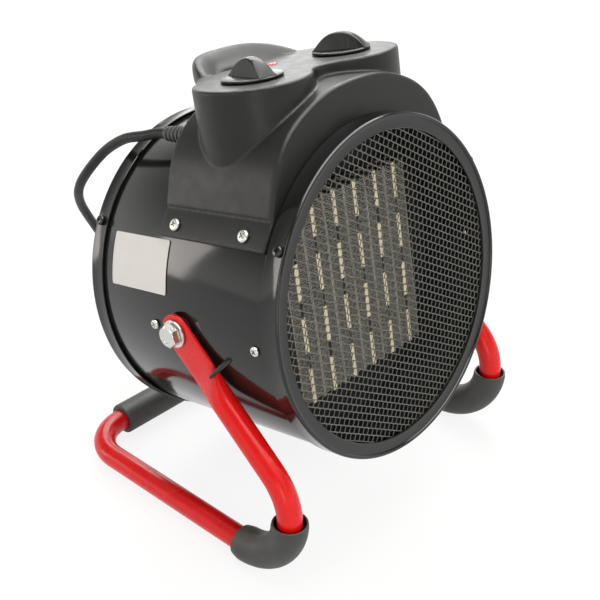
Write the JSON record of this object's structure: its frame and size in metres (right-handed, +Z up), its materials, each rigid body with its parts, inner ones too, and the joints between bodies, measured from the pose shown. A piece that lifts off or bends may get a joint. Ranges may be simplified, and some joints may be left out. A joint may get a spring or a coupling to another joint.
{
  "type": "portable fan heater",
  "caption": "Round drum fan heater with ceramic heating block, wire grilles, two control knobs and carry handle, tilting in a bent red tube stand, with cord and plug.",
  "frame": {"origin": "on the floor, below the middle of the stand", "axes": "+Z up, the heater blows towards -Y, +X is to the right seen from the front"},
  "size_m": [0.3619, 0.405, 0.3037],
  "materials": {
    "red_enamel": "gloss",
    "black_enamel": "gloss",
    "black_plastic": "satin",
    "knob_plastic": "satin",
    "rubber": "matt",
    "zinc": "bright",
    "dark_steel": "satin",
    "grille_wire": "satin",
    "fin_aluminium": "satin",
    "cream_nylon": "matt",
    "red_lens": "gloss",
    "label_foil": "matt"
  },
  "bodies": {
    "stand": {"stand_tube": "red_enamel", "front_foot_left": "rubber", "front_foot_right": "rubber", "rear_foot": "rubber", "pivot_spacer_left": "cream_nylon", "pivot_spacer_right": "cream_nylon", "pivot_washer_left": "zinc", "pivot_washer_right": "zinc", "cord_coil": "rubber", "cord_tie": "rubber", "cord_lead": "rubber", "plug": "black_plastic"},
    "heater": {"cord_gland": "rubber", "cord": "rubber", "terminal_block": "cream_nylon", "pivot_bolt_left": "zinc", "pivot_bolt_right": "zinc", "pivot_nut_left": "zinc", "pivot_nut_right": "zinc", "fan_motor": "zinc", "drum_shell": "black_enamel", "front_ring": "black_enamel", "rear_ring": "black_enamel", "stop_lug_left": "black_enamel", "stop_lug_right": "black_enamel", "front_grille": "grille_wire", "rear_grille": "grille_wire", "control_housing": "black_plastic", "power_switch": "black_plastic", "thermostat": "black_plastic", "pilot_lamp": "red_lens", "heating_element_1": "fin_aluminium", "heating_element_2": "fin_aluminium", "heating_element_3": "fin_aluminium", "heating_element_4": "fin_aluminium", "heating_element_5": "fin_aluminium", "heating_element_6": "fin_aluminium", "thermal_cutout": "fin_aluminium", "element_frame": "dark_steel", "heat_shield": "dark_steel", "motor_bracket": "dark_steel", "rating_label": "label_foil", "housing_screw_left_1": "zinc", "housing_screw_left_2": "zinc", "drum_screw_left_1": "zinc", "drum_screw_left_2": "zinc", "front_ring_screw_left": "black_enamel", "rear_ring_screw_left": "black_enamel", "housing_screw_right_1": "zinc", "housing_screw_right_2": "zinc", "drum_screw_right_1": "zinc", "drum_screw_right_2": "zinc", "front_ring_screw_right": "black_enamel", "rear_ring_screw_right": "black_enamel"},
    "switch": {"switch_knob": "knob_plastic", "switch_spindle": "cream_nylon"},
    "thermostat": {"thermostat_knob": "knob_plastic", "thermostat_spindle": "cream_nylon"},
    "fan": {"fan_impeller": "dark_steel", "motor_shaft": "zinc"}
  },
  "joints": [
    {"name": "heater_tilt", "type": "hinge", "parent": "stand", "child": "heater", "pos_m": [0, -0.0091, 0.1478], "axis": [-1, 0, 0], "range_deg": [0, 45]},
    {"name": "switch_turn", "type": "hinge", "parent": "heater", "child": "switch", "pos_m": [-0.041, -0.00928, 0.29105], "axis": [0, -0.1792, -0.9838], "range_deg": [0, 135]},
    {"name": "thermostat_turn", "type": "hinge", "parent": "heater", "child": "thermostat", "pos_m": [0.041, -0.00928, 0.29105], "axis": [0, -0.1792, -0.9838], "range_deg": [0, 240]},
    {"name": "fan_spin", "type": "hinge", "parent": "heater", "child": "fan", "pos_m": [0, -0.02469, 0.15064], "axis": [0, 0.9838, -0.1792], "continuous": true}
  ]
}
